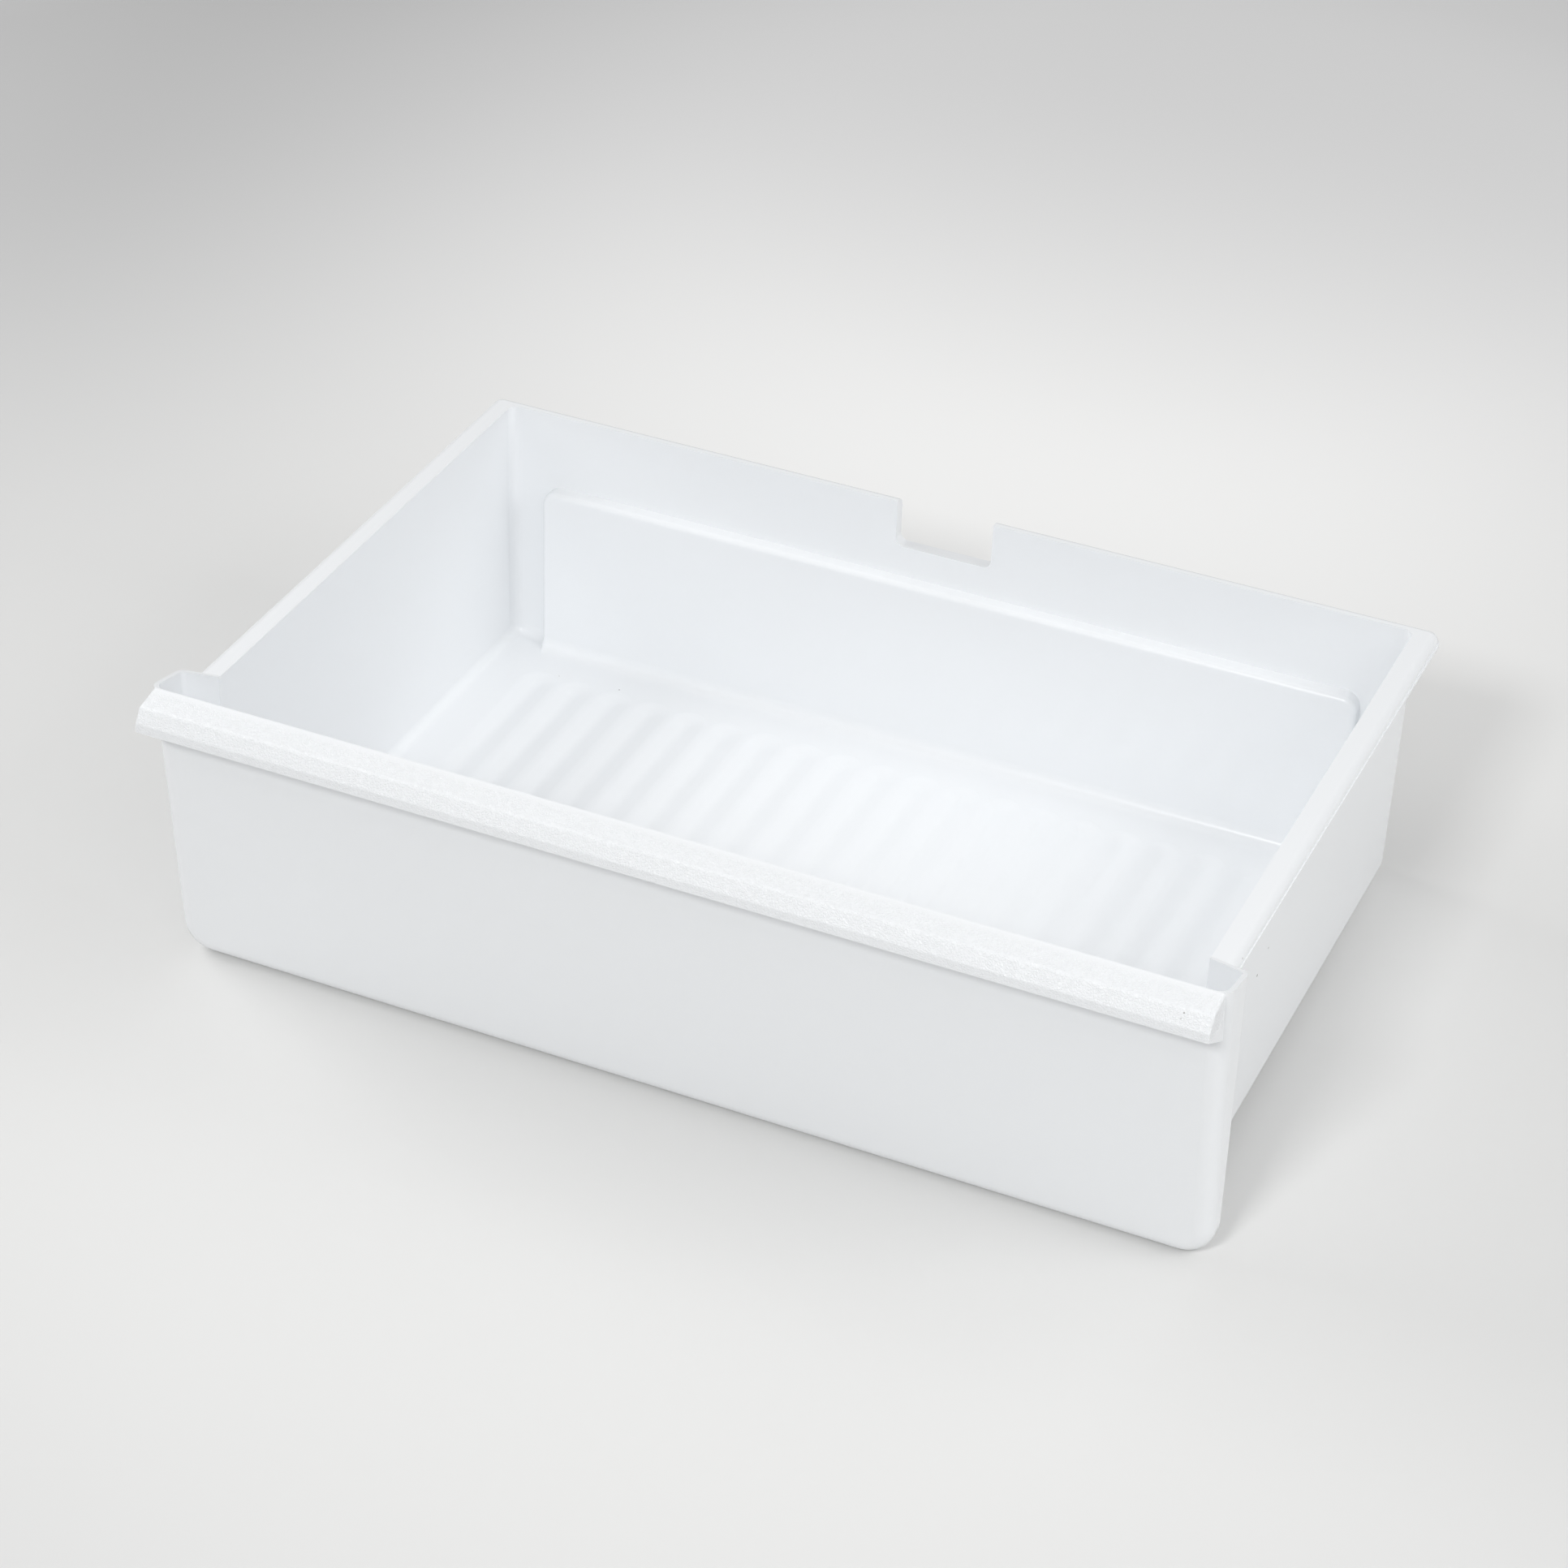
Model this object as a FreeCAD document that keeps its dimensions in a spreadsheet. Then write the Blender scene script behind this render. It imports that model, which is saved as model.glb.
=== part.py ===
"""Fridge crisper drawer, one thin-walled moulding of white plastic.

+Z is up, -Y is the front with the handle, X runs across. The rim is level, as when the flanges hang on rails.
The front reaches lower than the pan, and the origin is under the middle of the drawer, level with its foot.
Walls have one thickness, so each outer form has an inner twin that lies one wall further in.
"""
import FreeCAD, Part
import math
import os
import Sketcher

# Driving sizes, in millimetres and degrees
SIZES = {
    "depth": 403,
    "rim_height": 174,
    "wall": 2.5,
    "pan_width": 571,
    "pan_corner": 8.5,
    "floor_rise": 13.5,
    "side_draft": 0.6,
    "back_draft": 1,
    "front_overhang": 19.5,
    "front_depth": 57,
    "front_corner": 9.5,
    "front_foot": 18,
    "front_lean": 4.8,
    "shoulder_skew": 5.5,
    "shoulder_round": 5,
    "side_flange": 11,
    "back_flange": 5,
    "flange_corner": 6,
    "flange_roll": 5,
    "lip_drop": 7.5,
    "bead_width": 0.8,
    "bead_height": 1.8,
    "ledge_drop": 48.5,
    "ledge_depth": 9.5,
    "ledge_width": 516,
    "ledge_corner": 9,
    "ledge_round": 3,
    "foot_round": 7.5,
    "notch_width": 60,
    "notch_depth": 29,
    "notch_corner": 5,
    "channel_pitch": 25.4,
    "channel_land": 1,
    "channel_depth": 1.8,
    "channel_round": 14,
    "channel_side_gap": 28,
    "channel_rear_gap": 25,
    "handle_rise": 8,
    "handle_reach": 19,
    "handle_inset": 2.5,
    "handle_edge": 2,
    "cheek_slope": 32,
    "top_fold_back": 6,
    "top_fold_drop": 3.3,
    "top_fold_round": 3,
    "grip_fold_back": 0.8,
    "grip_fold_drop": 11.2,
    "grip_fold_round": 2,
    "lip_fold_drop": 16,
}

# How far a cutting form runs past what it cuts, and how near a place counts as the same place
PAST = 10
NEAR = 1e-3

doc = FreeCAD.newDocument("crisper_drawer")
dims = doc.addObject("Spreadsheet::Sheet", "dims")
for row, (alias, size) in enumerate(SIZES.items(), start=1):
    dims.set(f"A{row}", alias.replace("_", " "))
    dims.set(f"B{row}", str(size))
    dims.setAlias(f"B{row}", alias)
doc.recompute()

# Places that several forms share
NOSE = "(-dims.depth / 2)"
JOG = "(-dims.depth / 2 + dims.front_depth)"
BACK_LIP = "(dims.depth / 2 - dims.bead_width)"
RIM = "dims.rim_height"
LIP_LOW = "(dims.rim_height - dims.lip_drop)"
TOP = "(dims.rim_height + dims.handle_rise)"
ABOVE = f"({TOP} + {PAST})"
PAN_HALF = "(dims.pan_width / 2)"
FRONT_HALF = "(dims.pan_width / 2 + dims.front_overhang)"
FLANGE_HALF = "(dims.pan_width / 2 + dims.side_flange)"
FLOOR_LOW = "dims.floor_rise"
FLOOR_HIGH = "(dims.floor_rise + dims.wall)"
WALL = "dims.wall"
NONE = "0"


def value(expression):
    """Number that an expression on the sheet has now."""
    return float(dims.evalExpression(expression))


def pan_side(height, inset):
    """Half the pan's width at a height: the sides draw in towards the floor."""
    return f"({PAN_HALF} - {inset} - ({RIM} - {height}) * tan(dims.side_draft))"


def pan_back(height, inset):
    """Place of the pan's back wall at a height."""
    return f"({BACK_LIP} - dims.back_flange - {inset} - ({RIM} - {height}) * tan(dims.back_draft))"


def back_panel(height, inset):
    """Place of the lower back panel, which stands in from the back wall by the ledge."""
    return f"({pan_back(height, inset)} - dims.ledge_depth)"


def front_panel(height, inset):
    """Place of the front panel at a height: it leans out towards the handle."""
    return f"({NOSE} + dims.handle_reach + {inset} + ({TOP} - {height}) * tan(dims.front_lean))"


def shoulder(across, inset):
    """Place of the slanting shoulders, where the front grows wider than the pan."""
    slope = "dims.shoulder_skew / dims.front_overhang"
    return f"({JOG} - ({across} - {PAN_HALF}) * {slope} - {inset} * sqrt(1 + ({slope}) ^ 2))"


HANDLE_BACK = front_panel(TOP, WALL)


def side_top(place):
    """Height of the front's side walls, which rise from the rim to the handle."""
    return f"({RIM} + dims.handle_rise * ({JOG} - {place}) / ({JOG} - {HANDLE_BACK}))"


def new_body(name):
    return doc.addObject("PartDesign::Body", name)


def add_sketch(body, name, plane, height=NONE, across=NONE):
    """Empty sketch on one of the body's own planes, raised above it by a height and moved across."""
    sketch = body.newObject("Sketcher::SketchObject", name)
    support = next(item for item in body.Origin.OriginFeatures if item.Role == plane)
    sketch.AttachmentSupport = (support, "")
    sketch.MapMode = "FlatFace"
    sketch.setExpression("AttachmentOffset.Base.z", height)
    sketch.setExpression("AttachmentOffset.Base.x", across)
    return sketch


def place_point(sketch, line, end, across, along):
    """Ties one end of a line to its two distances from the sketch's origin."""
    for kind, expression in (("DistanceX", across), ("DistanceY", along)):
        number = sketch.addConstraint(Sketcher.Constraint(kind, -1, 1, line, end, value(expression)))
        sketch.setExpression(f"Constraints[{number}]", expression)


def add_outline(body, name, plane, points, height=NONE, across=NONE):
    """Closed outline through corners, each a pair of expressions in the plane's own axes."""
    sketch = add_sketch(body, name, plane, height, across)
    corners = [FreeCAD.Vector(value(x), value(y), 0) for x, y in points]
    count = len(points)
    for index in range(count):
        sketch.addGeometry(Part.LineSegment(corners[index], corners[(index + 1) % count]))
    for index in range(count):
        sketch.addConstraint(Sketcher.Constraint("Coincident", index, 2, (index + 1) % count, 1))
    for index, (x, y) in enumerate(points):
        place_point(sketch, index, 1, x, y)
    return sketch


def extrude(body, kind, name, sketch, length, side="One side"):
    """Pad or pocket of an outline, to one side of its plane or half to each."""
    feature = body.newObject(f"PartDesign::{kind}", name)
    feature.Profile = sketch
    feature.SideType = side
    feature.setExpression("Length", length)
    doc.recompute()
    return feature


def add_box(body, name, half_width, front, back, bottom, top):
    """Plain box that is centred across the drawer."""
    box = body.newObject("PartDesign::AdditiveBox", name)
    box.setExpression("Length", f"2 * {half_width}")
    box.setExpression("Width", f"{back} - {front}")
    box.setExpression("Height", f"{top} - {bottom}")
    box.setExpression("Placement.Base.x", f"-{half_width}")
    box.setExpression("Placement.Base.y", front)
    box.setExpression("Placement.Base.z", bottom)
    doc.recompute()
    return box


def round_edges(body, name, radius, chosen):
    """Rounds the edges that a test on an edge's middle and its span picks."""
    base = body.Tip
    picked = []
    for number, edge in enumerate(base.Shape.Edges, start=1):
        middle = edge.valueAt((edge.FirstParameter + edge.LastParameter) / 2)
        span = edge.Vertexes[-1].Point - edge.Vertexes[0].Point
        if chosen(middle, span):
            picked.append(f"Edge{number}")
    fillet = body.newObject("PartDesign::Fillet", name)
    fillet.Base = (base, picked)
    fillet.setExpression("Radius", radius)
    doc.recompute()
    return fillet


def hollow_out(body, name, opened):
    """Leaves one wall of a body, open at the flat faces that a test on their normals picks."""
    base = body.Tip
    faces = [f"Face{number}" for number, face in enumerate(base.Shape.Faces, start=1)
             if opened(face.normalAt(0, 0))]
    shell = body.newObject("PartDesign::Thickness", name)
    shell.Base = (base, faces)
    shell.Mode = "Skin"
    shell.Join = "Intersection"
    shell.Reversed = True
    shell.setExpression("Value", WALL)
    doc.recompute()
    return shell


def is_upright(span):
    return abs(span.z) > abs(span.x) + abs(span.y)


def runs_back(span):
    return abs(span.y) > abs(span.x) + abs(span.z)


def pan_form(name, inset, floor, top):
    """The pan: a block with drafted sides and back, round back corners and a round foot."""
    body = new_body(name)
    block = body.newObject("PartDesign::AdditiveWedge", f"{name}_block")
    block.Placement = FreeCAD.Placement(FreeCAD.Vector(), FreeCAD.Rotation(FreeCAD.Vector(1, 0, 0), 90))
    block.setExpression("Ymin", floor)
    block.setExpression("Ymax", top)
    front = shoulder(FRONT_HALF, f"2 * {WALL}")
    for height, mark in ((floor, ""), (top, "2")):
        block.setExpression(f"X{mark}min", f"-{pan_side(height, inset)}")
        block.setExpression(f"X{mark}max", pan_side(height, inset))
        block.setExpression(f"Z{mark}min", f"-{pan_back(height, inset)}")
        block.setExpression(f"Z{mark}max", f"-{front}")
    doc.recompute()
    low = value(floor) + NEAR
    rear = value(front) + NEAR
    round_edges(
        body, f"{name}_corners", f"dims.pan_corner - {inset}",
        lambda middle, span: middle.y > rear and (is_upright(span) or middle.z < low),
    )
    return body


def front_form(name, inset, floor, top):
    """The wider front: slanting shoulders behind and a panel that leans out ahead."""
    body = new_body(name)
    side = f"({FRONT_HALF} - {inset})"
    inner = f"({PAN_HALF} - {inset})"
    plan = add_outline(
        body, f"{name}_plan", "XY_Plane",
        [(f"-{side}", NOSE), (side, NOSE), (side, shoulder(side, inset)), (inner, shoulder(inner, inset)),
         (f"-{inner}", shoulder(inner, inset)), (f"-{side}", shoulder(side, inset))],
        floor,
    )
    extrude(body, "Pad", f"{name}_block", plan, f"{top} - {floor}")
    below = f"({floor} - {PAST})"
    ahead = f"({NOSE} - {PAST})"
    lean = add_outline(
        body, f"{name}_lean", "YZ_Plane",
        [(ahead, below), (front_panel(below, inset), below), (front_panel(ABOVE, inset), ABOVE), (ahead, ABOVE)],
    )
    extrude(body, "Pocket", f"{name}_panel", lean, f"2 * {FRONT_HALF}", "Symmetric")
    return body


def slope_top(body, name):
    """Cuts the front's top edge: down to the rim behind the handle, and to the handle's slope ahead."""
    ahead = f"({NOSE} + dims.top_fold_back)"
    behind = f"({JOG} + {PAST})"
    slope = add_outline(
        body, f"{name}_line", "YZ_Plane",
        [(behind, RIM), (JOG, RIM), (HANDLE_BACK, TOP), (ahead, f"({TOP} - dims.top_fold_drop)"),
         (ahead, ABOVE), (behind, ABOVE)],
    )
    extrude(body, "Pocket", name, slope, f"2 * {FRONT_HALF}", "Symmetric")


def round_front(body, name, inset, floor):
    """Rounds the front's lower corners, then the outline of its panel and the rear edges of its shoulders."""
    low = value(floor) + NEAR
    rim = value(RIM)
    side = value(f"({FRONT_HALF} - {inset})")
    rear = value(shoulder(f"({FRONT_HALF} - {inset})", inset)) - NEAR
    round_edges(body, f"{name}_foot", f"dims.front_foot - {inset}",
                lambda middle, span: runs_back(span) and abs(abs(middle.x) - side) < NEAR and middle.z < low)
    round_edges(
        body, f"{name}_corners", f"dims.front_corner - {inset}",
        lambda middle, span: middle.z < rim and abs(middle.y - value(front_panel(middle.z, inset))) < NEAR,
    )
    round_edges(
        body, f"{name}_shoulders", f"dims.shoulder_round - {inset}",
        lambda middle, span: is_upright(span) and abs(abs(middle.x) - side) < NEAR and middle.y > rear,
    )


def channel_half(body, name, place, first, side, bottom, top):
    """Half of a channel's section: a round trough, a flank and a round crest, open above."""
    sketch = add_sketch(body, name, "XZ_Plane", f"-{place}", first)
    land = f"({bottom} + dims.channel_depth)"
    edge = f"({side} * (dims.channel_pitch - dims.channel_land) / 2)"
    axis = FreeCAD.Vector(0, 0, 1)
    radius = value("dims.channel_round")
    low = FreeCAD.Vector(0, value(bottom), 0)
    crest = FreeCAD.Vector(value(edge), value(land), 0)
    low_centre = low + FreeCAD.Vector(0, radius, 0)
    crest_centre = crest - FreeCAD.Vector(0, radius, 0)
    reach = (crest_centre - low_centre).Length
    turn = math.asin(2 * radius / reach) - math.atan2(2 * radius - value("dims.channel_depth"), abs(crest.x))
    upright = math.pi / 2
    if side > 0:
        trough_turn = (-upright, turn - upright)
        crest_turn = (upright, upright + turn)
    else:
        trough_turn = (-upright - turn, -upright)
        crest_turn = (upright - turn, upright)
    trough = Part.ArcOfCircle(Part.Circle(low_centre, axis, radius), *trough_turn)
    fold = Part.ArcOfCircle(Part.Circle(crest_centre, axis, radius), *crest_turn)
    lift = FreeCAD.Vector(0, value(top), 0)
    flank_ends = [trough.EndPoint, fold.EndPoint] if side > 0 else [trough.StartPoint, fold.StartPoint]
    sketch.addGeometry(trough)
    sketch.addGeometry(Part.LineSegment(*flank_ends))
    sketch.addGeometry(fold)
    sketch.addGeometry(Part.LineSegment(crest, FreeCAD.Vector(crest.x, lift.y, 0)))
    sketch.addGeometry(Part.LineSegment(FreeCAD.Vector(crest.x, lift.y, 0), lift))
    sketch.addGeometry(Part.LineSegment(lift, low))
    inner, outer = (1, 2) if side > 0 else (2, 1)
    for kind, first_line, first_end, next_line, next_end in (
        ("Tangent", 0, outer, 1, 1), ("Tangent", 1, 2, 2, outer), ("Coincident", 2, inner, 3, 1),
        ("Coincident", 3, 2, 4, 1), ("Coincident", 4, 2, 5, 1), ("Coincident", 5, 2, 0, inner),
    ):
        sketch.addConstraint(Sketcher.Constraint(kind, first_line, first_end, next_line, next_end))
    place_point(sketch, 3, 1, edge, land)
    place_point(sketch, 3, 2, edge, top)
    place_point(sketch, 5, 1, NONE, top)
    place_point(sketch, 5, 2, NONE, bottom)
    place_point(sketch, 0, 3, NONE, f"({bottom} + dims.channel_round)")
    place_point(sketch, 2, 3, edge, f"({land} - dims.channel_round)")
    return sketch


def ridge_half(body, name, place, first, side, bottom, top):
    """Half of a ridge's section on the underside, which is a plain fold."""
    land = f"({bottom} + dims.channel_depth)"
    edge = f"({side} * (dims.channel_pitch - dims.channel_land) / 2)"
    return add_outline(body, name, "XZ_Plane", [(NONE, bottom), (edge, land), (edge, top), (NONE, top)],
                       f"-{place}", first)


def channel_row(name, land, half_section):
    """Row of channels or ridges below a floor's level, with round rear ends, joined at the front."""
    body = new_body(name)
    count = f"(2 * floor(({PAN_HALF} - dims.channel_side_gap) / dims.channel_pitch))"
    first = f"(-({count} - 1) / 2 * dims.channel_pitch)"
    rear = f"({back_panel(FLOOR_LOW, WALL)} - dims.channel_rear_gap - dims.channel_pitch / 2)"
    front = f"({JOG} - 2 * {WALL})"
    bottom = f"({land} - dims.channel_depth)"
    top = f"({land} + {WALL} / 2)"
    add_box(body, f"{name}_front", f"({count} / 2 * dims.channel_pitch)", f"({front} - 3 * {WALL})",
            f"({front} + {WALL} / 2)", bottom, top)
    right = half_section(body, f"{name}_right", rear, first, 1, bottom, top)
    left = half_section(body, f"{name}_left", rear, first, -1, bottom, top)
    flanks = [extrude(body, "Pad", f"{half.Name}_flank", half, f"{rear} - {front}") for half in (right, left)]
    tip = body.newObject("PartDesign::Revolution", f"{name}_tip")
    tip.Profile = right
    tip.ReferenceAxis = (right, ["V_Axis"])
    tip.Angle = 180
    doc.recompute()
    pattern = body.newObject("PartDesign::LinearPattern", f"{name}_pattern")
    pattern.Originals = flanks + [tip]
    pattern.Direction = (right, ["H_Axis"])
    pattern.setExpression("Length", f"({count} - 1) * dims.channel_pitch")
    pattern.setExpression("Occurrences", count)
    body.Tip = pattern
    doc.recompute()
    return body


def flange_form(name, half, back, corner, bottom, top):
    """Block under a flange's top face, or a bead's, with round back corners."""
    body = new_body(name)
    front = shoulder(FRONT_HALF, f"2 * {WALL}")
    add_box(body, f"{name}_block", half, front, back, bottom, top)
    ahead = value(front) + NEAR
    round_edges(body, f"{name}_corners", corner, lambda middle, span: is_upright(span) and middle.y > ahead)
    return body


def roll_flange(body, name, radius):
    """Rolls a flange's top edge over into its lip, along the sides and the back."""
    high = body.Tip.Shape.BoundBox.ZMax - NEAR
    ahead = body.Tip.Shape.BoundBox.YMin + NEAR
    round_edges(body, name, radius, lambda middle, span: middle.z > high and middle.y > ahead)


def notch_form(name, inset, front, back, top):
    """Notch in the back rim, with round lower corners."""
    body = new_body(name)
    bottom = f"({RIM} - dims.notch_depth - {inset})"
    add_box(body, f"{name}_block", f"(dims.notch_width / 2 + {inset})", front, back, bottom, top)
    low = value(bottom) + NEAR
    round_edges(body, f"{name}_corners", f"dims.notch_corner + {inset}",
                lambda middle, span: middle.z < low and runs_back(span))
    return body


def panel_form(name, inset, floor):
    """Lower back panel, from the ledge down to a round foot that runs out into the floor."""
    body = new_body(name)
    half = f"(dims.ledge_width / 2 - {WALL} + {inset})"
    ledge = f"({RIM} - dims.ledge_drop - {WALL} + {inset})"
    foot = f"(dims.foot_round + {WALL} - {inset})"
    toe = f"({back_panel(floor, inset)} - {foot} - {WALL})"
    behind = f"({BACK_LIP} + {PAST})"
    below = f"(-{PAST})"
    outline = add_outline(
        body, f"{name}_outline", "YZ_Plane",
        [(behind, ledge), (back_panel(ledge, inset), ledge), (back_panel(floor, inset), floor), (toe, floor),
         (toe, below), (behind, below)],
    )
    extrude(body, "Pad", f"{name}_block", outline, f"2 * {half}", "Symmetric")
    foot_y = value(back_panel(floor, inset))
    foot_z = value(floor)
    round_edges(body, f"{name}_foot", foot,
                lambda middle, span: abs(middle.y - foot_y) < NEAR and abs(middle.z - foot_z) < NEAR)
    side = value(half) - NEAR
    high = value(ledge) - NEAR
    round_edges(body, f"{name}_corners", f"dims.ledge_corner - {WALL} + {inset}",
                lambda middle, span: runs_back(span) and abs(middle.x) > side and middle.z > high)
    return body


def round_ledge(body, name):
    """Rounds the upper and side edges of the lower back panel."""
    side = body.Tip.Shape.BoundBox.XMax - NEAR
    ahead = body.Tip.Shape.BoundBox.YMin + NEAR
    rear = body.Tip.Shape.BoundBox.YMax - NEAR
    round_edges(
        body, name, "dims.ledge_round",
        lambda middle, span: abs(middle.x) > side and is_upright(span) and ahead < middle.y < rear,
    )


def handle_form():
    """Hooded handle: a sloping top, a grip face and a lip, hollow from below for the fingers, closed at its ends."""
    body = new_body("handle")
    lip = f"({TOP} - dims.lip_fold_drop)"
    top_fold = (f"({NOSE} + dims.top_fold_back)", f"({TOP} - dims.top_fold_drop)")
    grip_fold = (f"({NOSE} + dims.grip_fold_back)", f"({TOP} - dims.grip_fold_drop)")
    back = f"({front_panel(lip, WALL)} + dims.front_corner)"
    cheek = f"({lip} - ({back} - {NOSE}) * tan(dims.cheek_slope))"
    half = f"({FRONT_HALF} - dims.handle_inset)"
    outline = add_outline(
        body, "handle_outline", "YZ_Plane",
        [(HANDLE_BACK, TOP), top_fold, grip_fold, (NOSE, lip), (back, cheek), (back, side_top(back))],
    )
    extrude(body, "Pad", "handle_block", outline, f"2 * {half}", "Symmetric")
    hollow_out(body, "handle_shell", lambda normal: normal.z < -0.8 or normal.y > 0.95)
    for name, (place, height) in (("top_fold", top_fold), ("grip_fold", grip_fold)):
        spot = FreeCAD.Vector(0, value(place), value(height))
        round_edges(body, name, f"dims.{name}_round", lambda middle, span: (middle - spot).Length < NEAR)
    end = value(half) - NEAR
    lip_back = value(f"({NOSE} + {WALL} / 2)")
    lip_low = value(lip)
    round_edges(body, "handle_ends", "dims.handle_edge",
                lambda middle, span: abs(middle.x) > end and middle.y < lip_back and middle.z > lip_low)
    return body


def joined(name, pieces):
    fuse = doc.addObject("Part::MultiFuse", name)
    fuse.Shapes = pieces
    fuse.Refine = True
    doc.recompute()
    return fuse


def cut(name, base, tool):
    remainder = doc.addObject("Part::Cut", name)
    remainder.Base = base
    remainder.Tool = tool
    remainder.Refine = True
    doc.recompute()
    return remainder


# Outside of the drawer
outer_pan = pan_form("outer_pan", NONE, FLOOR_LOW, RIM)
outer_panel = panel_form("outer_panel", NONE, FLOOR_LOW)
outer_front = front_form("outer_front", NONE, NONE, TOP)
slope_top(outer_front, "outer_front_top")
round_front(outer_front, "outer_front", NONE, NONE)
ridges = channel_row("ridges", FLOOR_LOW, ridge_half)
notch_frame = notch_form("notch_frame", WALL, pan_back(RIM, f"{WALL} / 2"), BACK_LIP, RIM)
frame_rear = value(BACK_LIP) - NEAR
frame_high = value(RIM) - NEAR
round_edges(notch_frame, "notch_frame_edge", "dims.flange_roll",
            lambda middle, span: middle.y > frame_rear and middle.z > frame_high)
bead = flange_form("bead", f"({FLANGE_HALF} + dims.bead_width)", f"({BACK_LIP} + dims.bead_width)",
                   "dims.flange_corner + dims.bead_width", LIP_LOW, f"({LIP_LOW} + dims.bead_height)")
flange = flange_form("flange", FLANGE_HALF, BACK_LIP, "dims.flange_corner", LIP_LOW, RIM)
roll_flange(flange, "flange_roll", "dims.flange_roll")
under_flange = flange_form("under_flange", f"({FLANGE_HALF} - {WALL})", f"({BACK_LIP} - {WALL})",
                           f"dims.flange_corner - {WALL}", f"({LIP_LOW} - {PAST})", f"({RIM} - {WALL})")
roll_flange(under_flange, "under_flange_roll", f"dims.flange_roll - {WALL}")
lip = cut("lip", joined("flange_and_bead", [flange, bead]), under_flange)
recessed_pan = cut("recessed_pan", outer_pan, outer_panel)
outside = joined("outside", [recessed_pan, ridges, outer_front, lip, notch_frame, handle_form()])

# Room inside the drawer
inner_pan = pan_form("inner_pan", WALL, FLOOR_HIGH, ABOVE)
inner_panel = panel_form("inner_panel", WALL, FLOOR_HIGH)
round_ledge(inner_panel, "inner_panel_ledge")
inner_front = front_form("inner_front", WALL, WALL, ABOVE)
round_front(inner_front, "inner_front", WALL, WALL)
channels = channel_row("channels", FLOOR_HIGH, channel_half)
notch = notch_form("notch", NONE, f"({BACK_LIP} - 2 * {PAST})", f"({BACK_LIP} + {PAST})", ABOVE)
stepped_room = cut("stepped_room", inner_pan, inner_panel)
inside = joined("inside", [stepped_room, channels, inner_front, notch])

drawer = cut("drawer", outside, inside)
drawer.Label = "crisper_drawer"

for item in doc.Objects:
    if "Invalid" in item.State or "Error" in item.State:
        raise RuntimeError(f"{item.Name} failed: {item.State}")
if drawer.Shape.isNull() or not drawer.Shape.isValid() or len(drawer.Shape.Solids) != 1:
    raise RuntimeError("the drawer is not one valid solid")
os.makedirs("parts", exist_ok=True)
drawer.Shape.exportStep(f"parts/{drawer.Label}.step")
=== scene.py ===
"""Finish and studio stage of a moulded fridge crisper drawer, laid out as an add-on and run as a script."""

import math

import bmesh
import bpy
from mathutils import Matrix, Vector

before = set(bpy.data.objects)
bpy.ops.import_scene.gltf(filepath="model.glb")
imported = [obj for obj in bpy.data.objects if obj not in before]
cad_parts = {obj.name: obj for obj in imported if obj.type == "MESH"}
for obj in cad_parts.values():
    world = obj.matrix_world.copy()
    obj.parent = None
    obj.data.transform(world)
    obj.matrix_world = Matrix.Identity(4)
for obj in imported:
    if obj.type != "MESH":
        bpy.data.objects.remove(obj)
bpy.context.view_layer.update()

bl_info = {
    "name": "Crisper Drawer",
    "version": (1, 0, 0),
    "blender": (4, 5, 0),
    "location": "View3D > Sidebar > Crisper",
    "description": "Finishes a moulded crisper drawer and sets it on a studio stage",
    "category": "Object",
}

DRAWER = "crisper_drawer"
MM = 0.001

# Colour sockets of the Mix node, which has a set of sockets for each kind of value
MIX_FIRST, MIX_SECOND, MIX_RESULT = 6, 7, 2

# The etched grain fades in towards the front and the top of the handle
GRAIN_FRONT = {"From Min": -180 * MM, "From Max": -185 * MM}
GRAIN_TOP = {"From Min": 165 * MM, "From Max": 167 * MM}

# In cells of the grain: length and reach of the noise that bends it, and width of its creases
BEND_LENGTH, BEND_REACH, CREASE_WIDTH = 2, 1.2, 0.25

# Specks of dirt in the moulding: place on its face and radius in millimetres, and strength
SPECKS = (
    ((296.2, -134.5, 170.6), 0.7, 0.5),
    ((284.9, -45.5, 114.1), 0.8, 0.7),
    ((284.8, -61.3, 106.8), 1.0, 1.0),
    ((287.5, -196.8, 176.7), 0.6, 0.6),
    ((286.7, -198.5, 174.1), 0.5, 0.4),
    ((-232.8, 155.4, 16.0), 0.5, 0.4),
    ((-193.0, 158.1, 16.0), 0.6, 0.7),
)

# Share of a speck's radius that has its full strength
SPECK_CORE = 0.5

FLOOR_SIDES = 96

# In metres: where the floor turns to its darker far colour (painted shade for the studio's dimmer edges), to
# its bright patch and to the pale distance
FAR_SHADE_FADE = {"From Min": 0.4, "From Max": 1.1}
PATCH_FADE = {"From Min": 0.85, "From Max": 0.3}
DISTANCE_FADE = {"From Min": 1.3, "From Max": 3.0}

# Softboxes round the drawer: name, place and size in metres
SOFTBOXES = (
    ("front", (0, -2.3, 2.0), (0.6, 0.4)),
    ("right_front", (1.2, -1.4, 1.6), (1.2, 1.2)),
    ("left_side", (-1.8, 0, 1.3), (1.2, 1.2)),
    ("right_side", (1.8, 0, 1.3), (1.2, 1.2)),
    ("right_rear", (1.1, 1.0, 2.0), (1.2, 1.2)),
)
SOFTBOX_AIM = (0, 0, 0.1)


def linear(hex_colour):
    """Turn an sRGB hex colour such as #F2F4F6 into linear values."""
    channels = [int(hex_colour[i:i + 2], 16) / 255 for i in (1, 3, 5)]
    return tuple(c / 12.92 if c <= 0.04045 else ((c + 0.055) / 1.055) ** 2.4 for c in channels)


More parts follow.
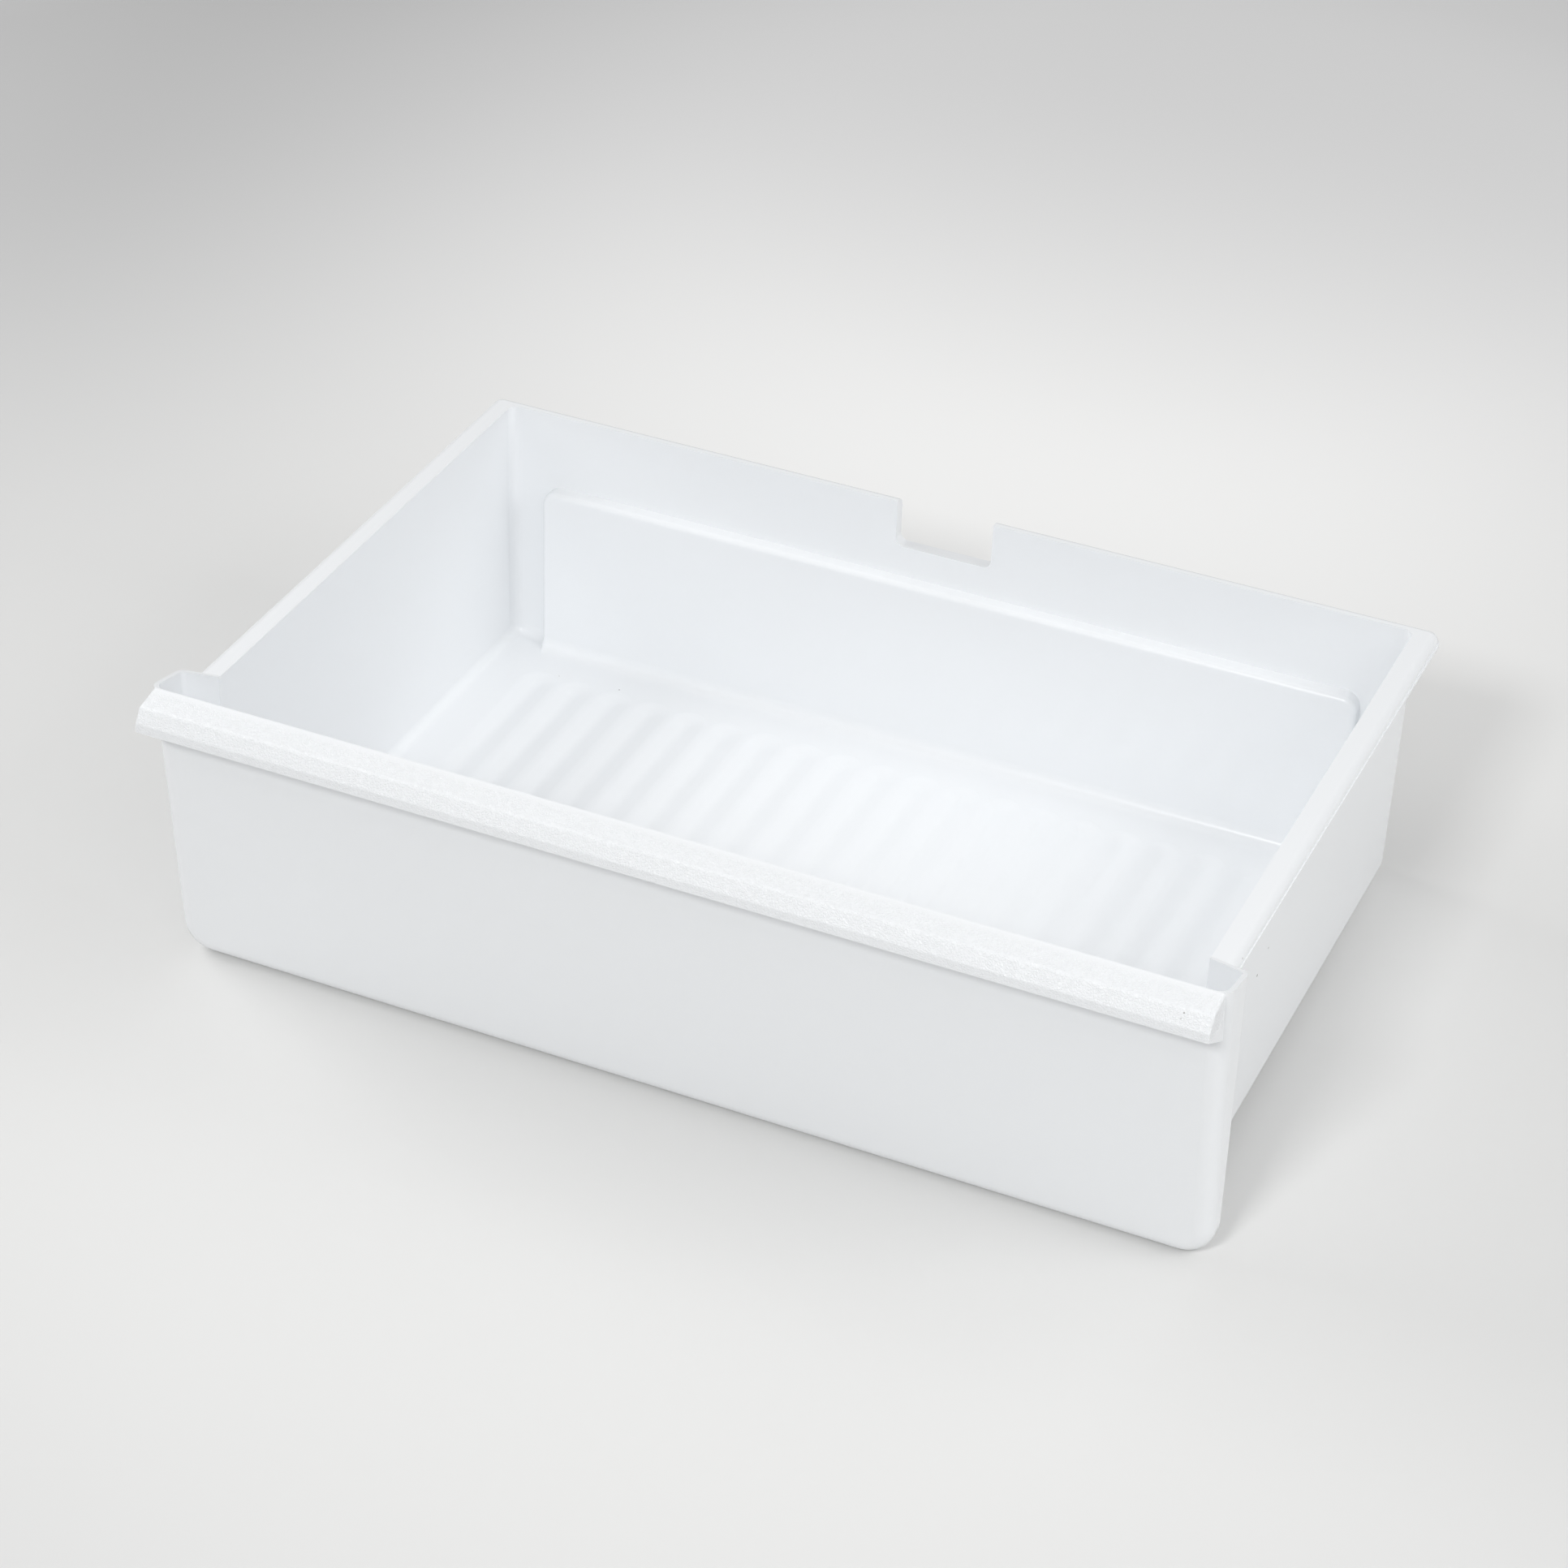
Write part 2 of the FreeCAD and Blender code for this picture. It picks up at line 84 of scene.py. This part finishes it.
def add_node(tree, kind, inputs=None, **settings):
    """Add a shader node with its settings; an input is a value or another node's output."""
    made = tree.nodes.new("ShaderNode" + kind)
    for name, value in settings.items():
        setattr(made, name, value)
    for key, value in (inputs or {}).items():
        if isinstance(value, bpy.types.NodeSocket):
            tree.links.new(value, made.inputs[key])
        else:
            made.inputs[key].default_value = value
    return made


def new_material(name):
    """A material with an empty node tree."""
    material = bpy.data.materials.new(name)
    material.use_nodes = True
    material.node_tree.nodes.clear()
    return material


class DrawerFinish(bpy.types.PropertyGroup):
    """Colours and surface of the drawer's plastic"""

    plastic: bpy.props.FloatVectorProperty(
        name="Plastic", description="White of the moulded plastic",
        subtype="COLOR", min=0, max=1, default=linear("#F2F4F6"))
    speck: bpy.props.FloatVectorProperty(
        name="Specks", description="Colour of the specks of dirt in the moulding",
        subtype="COLOR", min=0, max=1, default=linear("#7A756C"))
    roughness: bpy.props.FloatProperty(
        name="Roughness", description="Roughness of the glossy faces",
        subtype="FACTOR", min=0, max=1, default=0.26)
    grain_roughness: bpy.props.FloatProperty(
        name="Grain Roughness", description="Roughness of the grained handle",
        subtype="FACTOR", min=0, max=1, default=0.36)
    grain_cell: bpy.props.FloatProperty(
        name="Grain Cell", description="Width of one cell of the handle's leather grain",
        unit="LENGTH", min=0.5 * MM, default=1.6 * MM)
    grain_depth: bpy.props.FloatProperty(
        name="Grain Depth", description="Depth of the creases between the grain's cells",
        unit="LENGTH", min=0, default=0.15 * MM)
    wave_length: bpy.props.FloatProperty(
        name="Wave Length", description="Length of the slow waves left as the wall shrinks",
        unit="LENGTH", min=1 * MM, default=45 * MM)
    wave_depth: bpy.props.FloatProperty(
        name="Wave Depth", description="Depth of those waves", unit="LENGTH", min=0, default=0.06 * MM)


class DrawerStage(bpy.types.PropertyGroup):
    """Floor, lamps and camera round the drawer"""

    floor: bpy.props.FloatVectorProperty(
        name="Floor", description="Colour of the pale floor round the drawer",
        subtype="COLOR", min=0, max=1, default=linear("#E2E2E1"))
    # Painted shade: a darker floor colour further away, standing in for the dimmer edges of the studio
    far_floor_shade: bpy.props.FloatVectorProperty(
        name="Far Floor", description="Colour of the floor further away",
        subtype="COLOR", min=0, max=1, default=linear("#C4C4C4"))
    glow: bpy.props.FloatProperty(
        name="Glow", description="Brightness that the camera sees on the floor behind the drawer",
        min=0, default=0.2)
    glow_place: bpy.props.FloatVectorProperty(
        name="Glow Place", description="Middle of that bright patch",
        subtype="XYZ", unit="LENGTH", default=(-0.1, 0.9, 0.04))
    far_glow: bpy.props.FloatProperty(
        name="Far Glow", description="Brightness that the camera sees on the floor out of the lamps' reach",
        min=0, default=0.45)
    floor_radius: bpy.props.FloatProperty(
        name="Floor Radius", description="Radius of the round floor", unit="LENGTH", default=30)
    floor_pivot: bpy.props.FloatProperty(
        name="Floor Pivot", description="Where the front's foot stands on the floor",
        unit="LENGTH", default=-144.5 * MM)
    floor_tilt: bpy.props.FloatProperty(
        name="Floor Tilt", description="Lean of the drawer, from the front's foot back to its floor ridges",
        subtype="ANGLE", default=math.radians(2.32))
    dome: bpy.props.FloatProperty(
        name="Dome", description="Strength of the light from all round", min=0, default=0.308)
    front: bpy.props.FloatProperty(
        name="Front", description="Power of the softbox ahead",
        unit="POWER", min=0, default=30.8)
    right_front: bpy.props.FloatProperty(
        name="Right Front", description="Power of the softbox ahead on the right",
        unit="POWER", min=0, default=5.5)
    left_side: bpy.props.FloatProperty(
        name="Left Side", description="Power of the softbox on the left",
        unit="POWER", min=0, default=18.1)
    right_side: bpy.props.FloatProperty(
        name="Right Side", description="Power of the softbox on the right",
        unit="POWER", min=0, default=14.5)
    right_rear: bpy.props.FloatProperty(
        name="Right Rear", description="Power of the softbox behind on the right",
        unit="POWER", min=0, default=5)
    target: bpy.props.FloatVectorProperty(
        name="Target", description="Point that the camera looks at",
        subtype="XYZ", unit="LENGTH", default=(-0.02617, 0.0313, 0.075))
    distance: bpy.props.FloatProperty(
        name="Distance", description="From the camera to its target", unit="LENGTH", default=2.28967)
    azimuth: bpy.props.FloatProperty(
        name="Azimuth", description="Camera's turn to the right of the drawer's front",
        subtype="ANGLE", default=math.radians(23.5235))
    elevation: bpy.props.FloatProperty(
        name="Elevation", description="Camera's height above the horizon",
        subtype="ANGLE", default=math.radians(34.3107))
    roll: bpy.props.FloatProperty(
        name="Roll", description="Camera's turn about its own axis",
        subtype="ANGLE", default=math.radians(1.784))
    lens: bpy.props.FloatProperty(
        name="Lens", description="Focal length on a 36 mm sensor", subtype="DISTANCE_CAMERA", default=93)


def moulded_polystyrene(finish):
    """Impact polystyrene from a polished mould that is etched with leather grain at the handle."""
    # To the eye: a cool, glossy white whose reflections waver a little, and a duller, pebbled handle
    material = new_material("moulded white polystyrene")
    tree = material.node_tree
    place = add_node(tree, "TexCoord").outputs["Object"]
    axes = add_node(tree, "SeparateXYZ", {0: place}).outputs

    # Leather grain over the handle's hood: rounded cells between creases
    front = add_node(tree, "MapRange", {"Value": axes["Y"], **GRAIN_FRONT}).outputs[0]
    top = add_node(tree, "MapRange", {"Value": axes["Z"], **GRAIN_TOP}).outputs[0]
    grained = add_node(tree, "Math", {0: front, 1: top}, operation="MULTIPLY").outputs[0]
    noise = add_node(tree, "TexNoise", {
        "Vector": place, "Scale": 1 / (BEND_LENGTH * finish.grain_cell)}).outputs["Color"]
    bend = add_node(tree, "VectorMath", {
        0: noise, "Scale": BEND_REACH * finish.grain_cell}, operation="SCALE").outputs[0]
    bent = add_node(tree, "VectorMath", {0: place, 1: bend}, operation="ADD").outputs[0]
    crease = add_node(tree, "TexVoronoi", {
        "Vector": bent, "Scale": 1 / finish.grain_cell}, feature="DISTANCE_TO_EDGE").outputs["Distance"]
    cell = add_node(tree, "MapRange", {
        "Value": crease, "From Max": CREASE_WIDTH}, interpolation_type="SMOOTHSTEP").outputs[0]
    grain = add_node(tree, "Math", {0: cell, 1: grained}, operation="MULTIPLY").outputs[0]

    # Slow waves of the shrinking wall bend the reflections a little
    waves = add_node(tree, "TexNoise", {
        "Vector": place, "Scale": 1 / finish.wave_length, "Detail": 1.0}).outputs["Fac"]
    wavy = add_node(tree, "Bump", {"Height": waves, "Distance": finish.wave_depth}).outputs[0]
    relief = add_node(tree, "Bump", {
        "Height": grain, "Distance": finish.grain_depth, "Normal": wavy}).outputs[0]

    # Grain scatters the light more than the polished faces do
    roughness = add_node(tree, "MapRange", {
        "Value": grained, "To Min": finish.roughness, "To Max": finish.grain_roughness}).outputs[0]

    colour = (*finish.plastic, 1)
    for centre, radius, strength in SPECKS:
        away = add_node(tree, "VectorMath", {
            0: place, 1: [c * MM for c in centre]}, operation="DISTANCE").outputs["Value"]
        dirt = add_node(tree, "MapRange", {
            "Value": away, "From Min": radius * MM, "From Max": SPECK_CORE * radius * MM,
            "To Max": strength}).outputs[0]
        colour = add_node(tree, "Mix", {
            "Factor": dirt, MIX_FIRST: colour, MIX_SECOND: (*finish.speck, 1)},
            data_type="RGBA").outputs[MIX_RESULT]

    plastic = add_node(tree, "BsdfPrincipled", {
        "Base Color": colour, "Roughness": roughness, "IOR": 1.57, "Normal": relief})
    add_node(tree, "OutputMaterial", {"Surface": plastic.outputs[0]})
    return material


class CRISPER_OT_finish_drawer(bpy.types.Operator):
    """Give the drawer its moulded plastic"""

    bl_idname = "crisper.finish_drawer"
    bl_label = "Finish Drawer"

    def execute(self, context):
        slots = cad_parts[DRAWER].data.materials
        slots.clear()
        slots.append(moulded_polystyrene(context.scene.drawer_finish))
        return {"FINISHED"}


def painted_board(stage):
    """Board painted matt."""
    # To the eye: a pale floor that keeps the drawer's shadow, with painted shade that darkens it further away
    material = new_material("matt painted board")
    tree = material.node_tree
    place = add_node(tree, "TexCoord").outputs["Object"]
    away = add_node(tree, "VectorMath", {0: place}, operation="LENGTH").outputs["Value"]
    # Painted shade: the floor's colour darkens away from the drawer, where the studio light falls off
    far = add_node(tree, "MapRange", {"Value": away, **FAR_SHADE_FADE}, interpolation_type="SMOOTHSTEP").outputs[0]
    colour = add_node(tree, "Mix", {
        "Factor": far, MIX_FIRST: (*stage.floor, 1), MIX_SECOND: (*stage.far_floor_shade, 1)},
        data_type="RGBA").outputs[MIX_RESULT]
    board = add_node(tree, "BsdfPrincipled", {
        "Base Color": colour, "Roughness": 0.85, "Specular IOR Level": 0.2}).outputs[0]

    # A bright patch behind the drawer and a pale distance, for the camera and reflections only
    gap = add_node(tree, "VectorMath", {0: place, 1: stage.glow_place}, operation="DISTANCE").outputs["Value"]
    patch = add_node(tree, "MapRange", {
        "Value": gap, **PATCH_FADE, "To Max": stage.glow}, interpolation_type="SMOOTHSTEP").outputs[0]
    distance = add_node(tree, "MapRange", {
        "Value": away, **DISTANCE_FADE, "To Max": stage.far_glow}).outputs[0]
    both = add_node(tree, "Math", {0: patch, 1: distance}, operation="ADD").outputs[0]
    rays = add_node(tree, "LightPath").outputs
    seen = rays["Is Camera Ray"]
    for ray in ("Is Glossy Ray", "Is Transmission Ray"):
        seen = add_node(tree, "Math", {0: seen, 1: rays[ray]}, operation="MAXIMUM").outputs[0]
    strength = add_node(tree, "Math", {0: both, 1: seen}, operation="MULTIPLY").outputs[0]
    glow = add_node(tree, "Emission", {"Strength": strength}).outputs[0]
    lit = add_node(tree, "AddShader", {0: board, 1: glow}).outputs[0]
    add_node(tree, "OutputMaterial", {"Surface": lit})
    return material


def lay_floor(stage):
    """Lay the round floor under the drawer, which leans back on its ridges."""
    mesh = bpy.data.meshes.new("floor")
    shape = bmesh.new()
    lie = Matrix.Translation((0, stage.floor_pivot, 0)) @ Matrix.Rotation(stage.floor_tilt, 4, "X")
    bmesh.ops.create_circle(
        shape, cap_ends=True, radius=stage.floor_radius, segments=FLOOR_SIDES, matrix=lie)
    shape.to_mesh(mesh)
    shape.free()
    mesh.materials.append(painted_board(stage))
    floor = bpy.data.objects.new("floor", mesh)
    bpy.context.scene.collection.objects.link(floor)


def hang_softbox(name, place, size, power):
    """Hang a softbox that points at the drawer."""
    lamp = bpy.data.lights.new(name, "AREA")
    lamp.shape = "RECTANGLE"
    lamp.size, lamp.size_y = size
    lamp.energy = power
    box = bpy.data.objects.new(name, lamp)
    box.location = place
    box.rotation_euler = (Vector(SOFTBOX_AIM) - Vector(place)).to_track_quat("-Z", "Y").to_euler()
    bpy.context.scene.collection.objects.link(box)


def light_dome(stage):
    """Even light from all round."""
    world = bpy.data.worlds.new("dome")
    world.use_nodes = True
    dome = world.node_tree.nodes["Background"]
    dome.inputs["Color"].default_value = (1, 1, 1, 1)
    dome.inputs["Strength"].default_value = stage.dome
    bpy.context.scene.world = world


def place_camera(stage):
    """Set the camera at the height and turn from which the drawer is seen."""
    camera = bpy.data.objects.new("camera", bpy.data.cameras.new("camera"))
    camera.data.lens = stage.lens
    camera.matrix_world = (
        Matrix.Translation(stage.target)
        @ Matrix.Rotation(stage.azimuth, 4, "Z")
        @ Matrix.Rotation(math.pi / 2 - stage.elevation, 4, "X")
        @ Matrix.Rotation(stage.roll, 4, "Z")
        @ Matrix.Translation((0, 0, stage.distance)))
    bpy.context.scene.collection.objects.link(camera)
    bpy.context.scene.camera = camera


class CRISPER_OT_set_stage(bpy.types.Operator):
    """Lay the floor, hang the lamps and place the camera"""

    bl_idname = "crisper.set_stage"
    bl_label = "Set Stage"

    def execute(self, context):
        stage = context.scene.drawer_stage
        lay_floor(stage)
        light_dome(stage)
        for name, place, size in SOFTBOXES:
            hang_softbox(name, place, size, getattr(stage, name))
        place_camera(stage)
        context.scene.view_settings.view_transform = "Standard"
        return {"FINISHED"}


class CRISPER_PT_sidebar(bpy.types.Panel):
    """Finish and stage of the drawer"""

    bl_idname = "CRISPER_PT_sidebar"
    bl_label = "Crisper Drawer"
    bl_space_type = "VIEW_3D"
    bl_region_type = "UI"
    bl_category = "Crisper"

    def draw(self, context):
        scene = context.scene
        for operator, group in (
                (CRISPER_OT_finish_drawer, scene.drawer_finish),
                (CRISPER_OT_set_stage, scene.drawer_stage)):
            box = self.layout.box()
            for name in group.__annotations__:
                box.prop(group, name)
            box.operator(operator.bl_idname)


CLASSES = (DrawerFinish, DrawerStage, CRISPER_OT_finish_drawer, CRISPER_OT_set_stage, CRISPER_PT_sidebar)


def register():
    """Add the classes, and the drawer's properties to every scene."""
    for cls in CLASSES:
        bpy.utils.register_class(cls)
    bpy.types.Scene.drawer_finish = bpy.props.PointerProperty(type=DrawerFinish)
    bpy.types.Scene.drawer_stage = bpy.props.PointerProperty(type=DrawerStage)


def unregister():
    """Take the properties and the classes away again."""
    del bpy.types.Scene.drawer_stage
    del bpy.types.Scene.drawer_finish
    for cls in reversed(CLASSES):
        bpy.utils.unregister_class(cls)


def main():
    """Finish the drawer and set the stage."""
    register()
    bpy.ops.crisper.finish_drawer()
    bpy.ops.crisper.set_stage()


if __name__ == "__main__":
    main()
